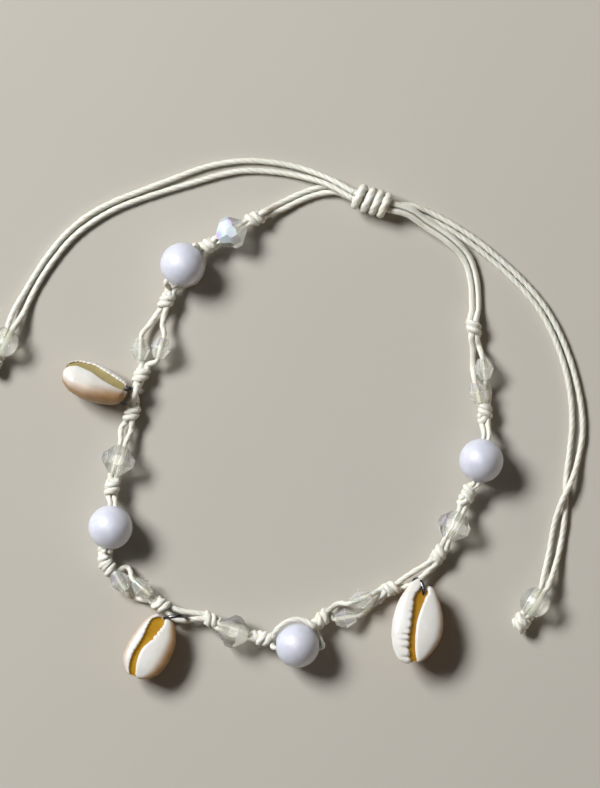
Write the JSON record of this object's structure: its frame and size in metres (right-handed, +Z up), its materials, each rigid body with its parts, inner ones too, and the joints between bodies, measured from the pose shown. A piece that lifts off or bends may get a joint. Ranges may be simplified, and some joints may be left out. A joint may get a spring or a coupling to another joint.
{
  "type": "beaded anklet",
  "caption": "Adjustable anklet: a doubled waxed cord knotted between white, faceted and bicone beads, with cowrie shells on jump rings.",
  "frame": {"origin": "middle of the loop's footprint, on the surface that the anklet lies on", "axes": "+Z up from the surface, +Y towards the sliding knot, +X to the right as pictured"},
  "size_m": [0.1093, 0.0948, 0.008],
  "materials": {
    "cord": "waxed, twisted cream cord",
    "white": "glossy, cool white",
    "clear": "clear, with a faint iridescent coat",
    "shell": "polished natural shell",
    "steel": "dark gunmetal"
  },
  "bodies": {
    "root": {"cord_loop": "cord", "sliding_knot": "cord", "free_right_a": "cord", "free_right_b": "cord", "free_left_a": "cord", "free_left_b": "cord", "end_knot_right": "cord", "end_knot_left": "cord", "end_bead_right": "clear", "end_bead_left": "clear", "white_bead_1": "white", "white_bead_2": "white", "white_bead_3": "white", "white_bead_4": "white", "faceted_bead_1": "clear", "faceted_bead_2": "clear", "faceted_bead_3": "clear", "faceted_bead_4": "clear", "bicone_1": "clear", "bicone_2": "clear", "bicone_3": "clear", "bicone_4": "clear", "bicone_5": "clear", "bicone_6": "clear", "bicone_7": "clear", "bicone_8": "clear", "cowrie_1": "shell", "cowrie_2": "shell", "cowrie_3": "shell", "jump_ring_1": "steel", "jump_ring_2": "steel", "jump_ring_3": "steel"}
  },
  "joints": []
}
